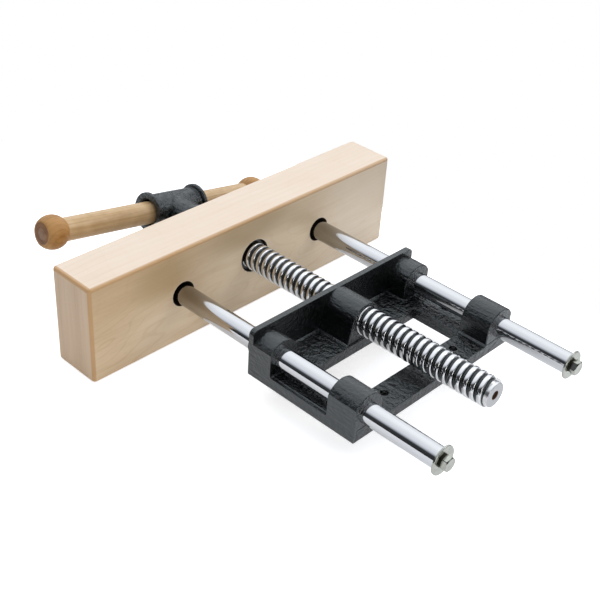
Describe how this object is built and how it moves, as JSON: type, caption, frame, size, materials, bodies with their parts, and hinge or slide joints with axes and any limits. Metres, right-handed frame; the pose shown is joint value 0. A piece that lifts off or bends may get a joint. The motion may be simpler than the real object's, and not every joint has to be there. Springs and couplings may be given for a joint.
{
  "type": "woodworking front vise",
  "caption": "Cabinet-maker's front vise: hardwood jaw on chromed guide rods, driven by a chromed lead screw with a sliding wooden handle, in a black casting that bolts under a bench top.",
  "frame": {"origin": "centre of the casting's mounting face, midway between its two rail holes", "axes": "+X along the jaw, to the right when seen from the handle; +Y along the guide rods, away from the handle; +Z from the mounting face towards the rods. In use the part hangs under a bench top, so +Z points down."},
  "size_m": [0.4064, 0.4752, 0.103],
  "materials": {
    "black_casting": "black satin enamel on a casting",
    "jaw_wood": "pale hardwood, lightly oiled",
    "handle_wood": "turned hardwood, oiled",
    "knob_wood": "turned hardwood, oiled",
    "chrome_steel": "polished chrome plate",
    "zinc_steel": "dull zinc plate",
    "blackened_steel": "black oxide on steel"
  },
  "bodies": {
    "carrier": {"carrier_casting": "black_casting"},
    "jaw_carriage": {"wood_jaw": "jaw_wood", "front_plate": "black_casting", "jaw_screws": "zinc_steel", "guide_rod_left": "chrome_steel", "guide_rod_right": "chrome_steel", "rod_stop_washer_left": "zinc_steel", "rod_stop_washer_right": "zinc_steel", "rod_stop_bolt_left": "zinc_steel", "rod_stop_bolt_right": "zinc_steel", "rod_front_washer_left": "zinc_steel", "rod_front_washer_right": "zinc_steel", "rod_front_bolt_left": "zinc_steel", "rod_front_bolt_right": "zinc_steel", "thrust_washer": "zinc_steel"},
    "screw": {"lead_screw": "chrome_steel", "retaining_ring": "blackened_steel", "screw_hub": "black_casting", "hub_pin": "blackened_steel"},
    "handle": {"handle_bar": "handle_wood", "handle_knob_left": "knob_wood", "handle_knob_right": "knob_wood"}
  },
  "joints": [
    {"name": "jaw_slide", "type": "slide", "parent": "carrier", "child": "jaw_carriage", "axis": [0, 1, 0], "range_m": [-0.0782, 0.107]},
    {"name": "screw_turn", "type": "hinge", "parent": "jaw_carriage", "child": "screw", "pos_m": [0, -0.2542, 0.0306], "axis": [0, 1, 0], "range_deg": [-3605, 4935]},
    {"name": "handle_slide", "type": "slide", "parent": "screw", "child": "handle", "axis": [0.9834, 0, 0.1814], "range_m": [-0.109, 0.075]}
  ],
  "couplings": [
    {"joint": "jaw_slide", "follows": "screw_turn", "m_per_rad": 0.0012414}
  ]
}
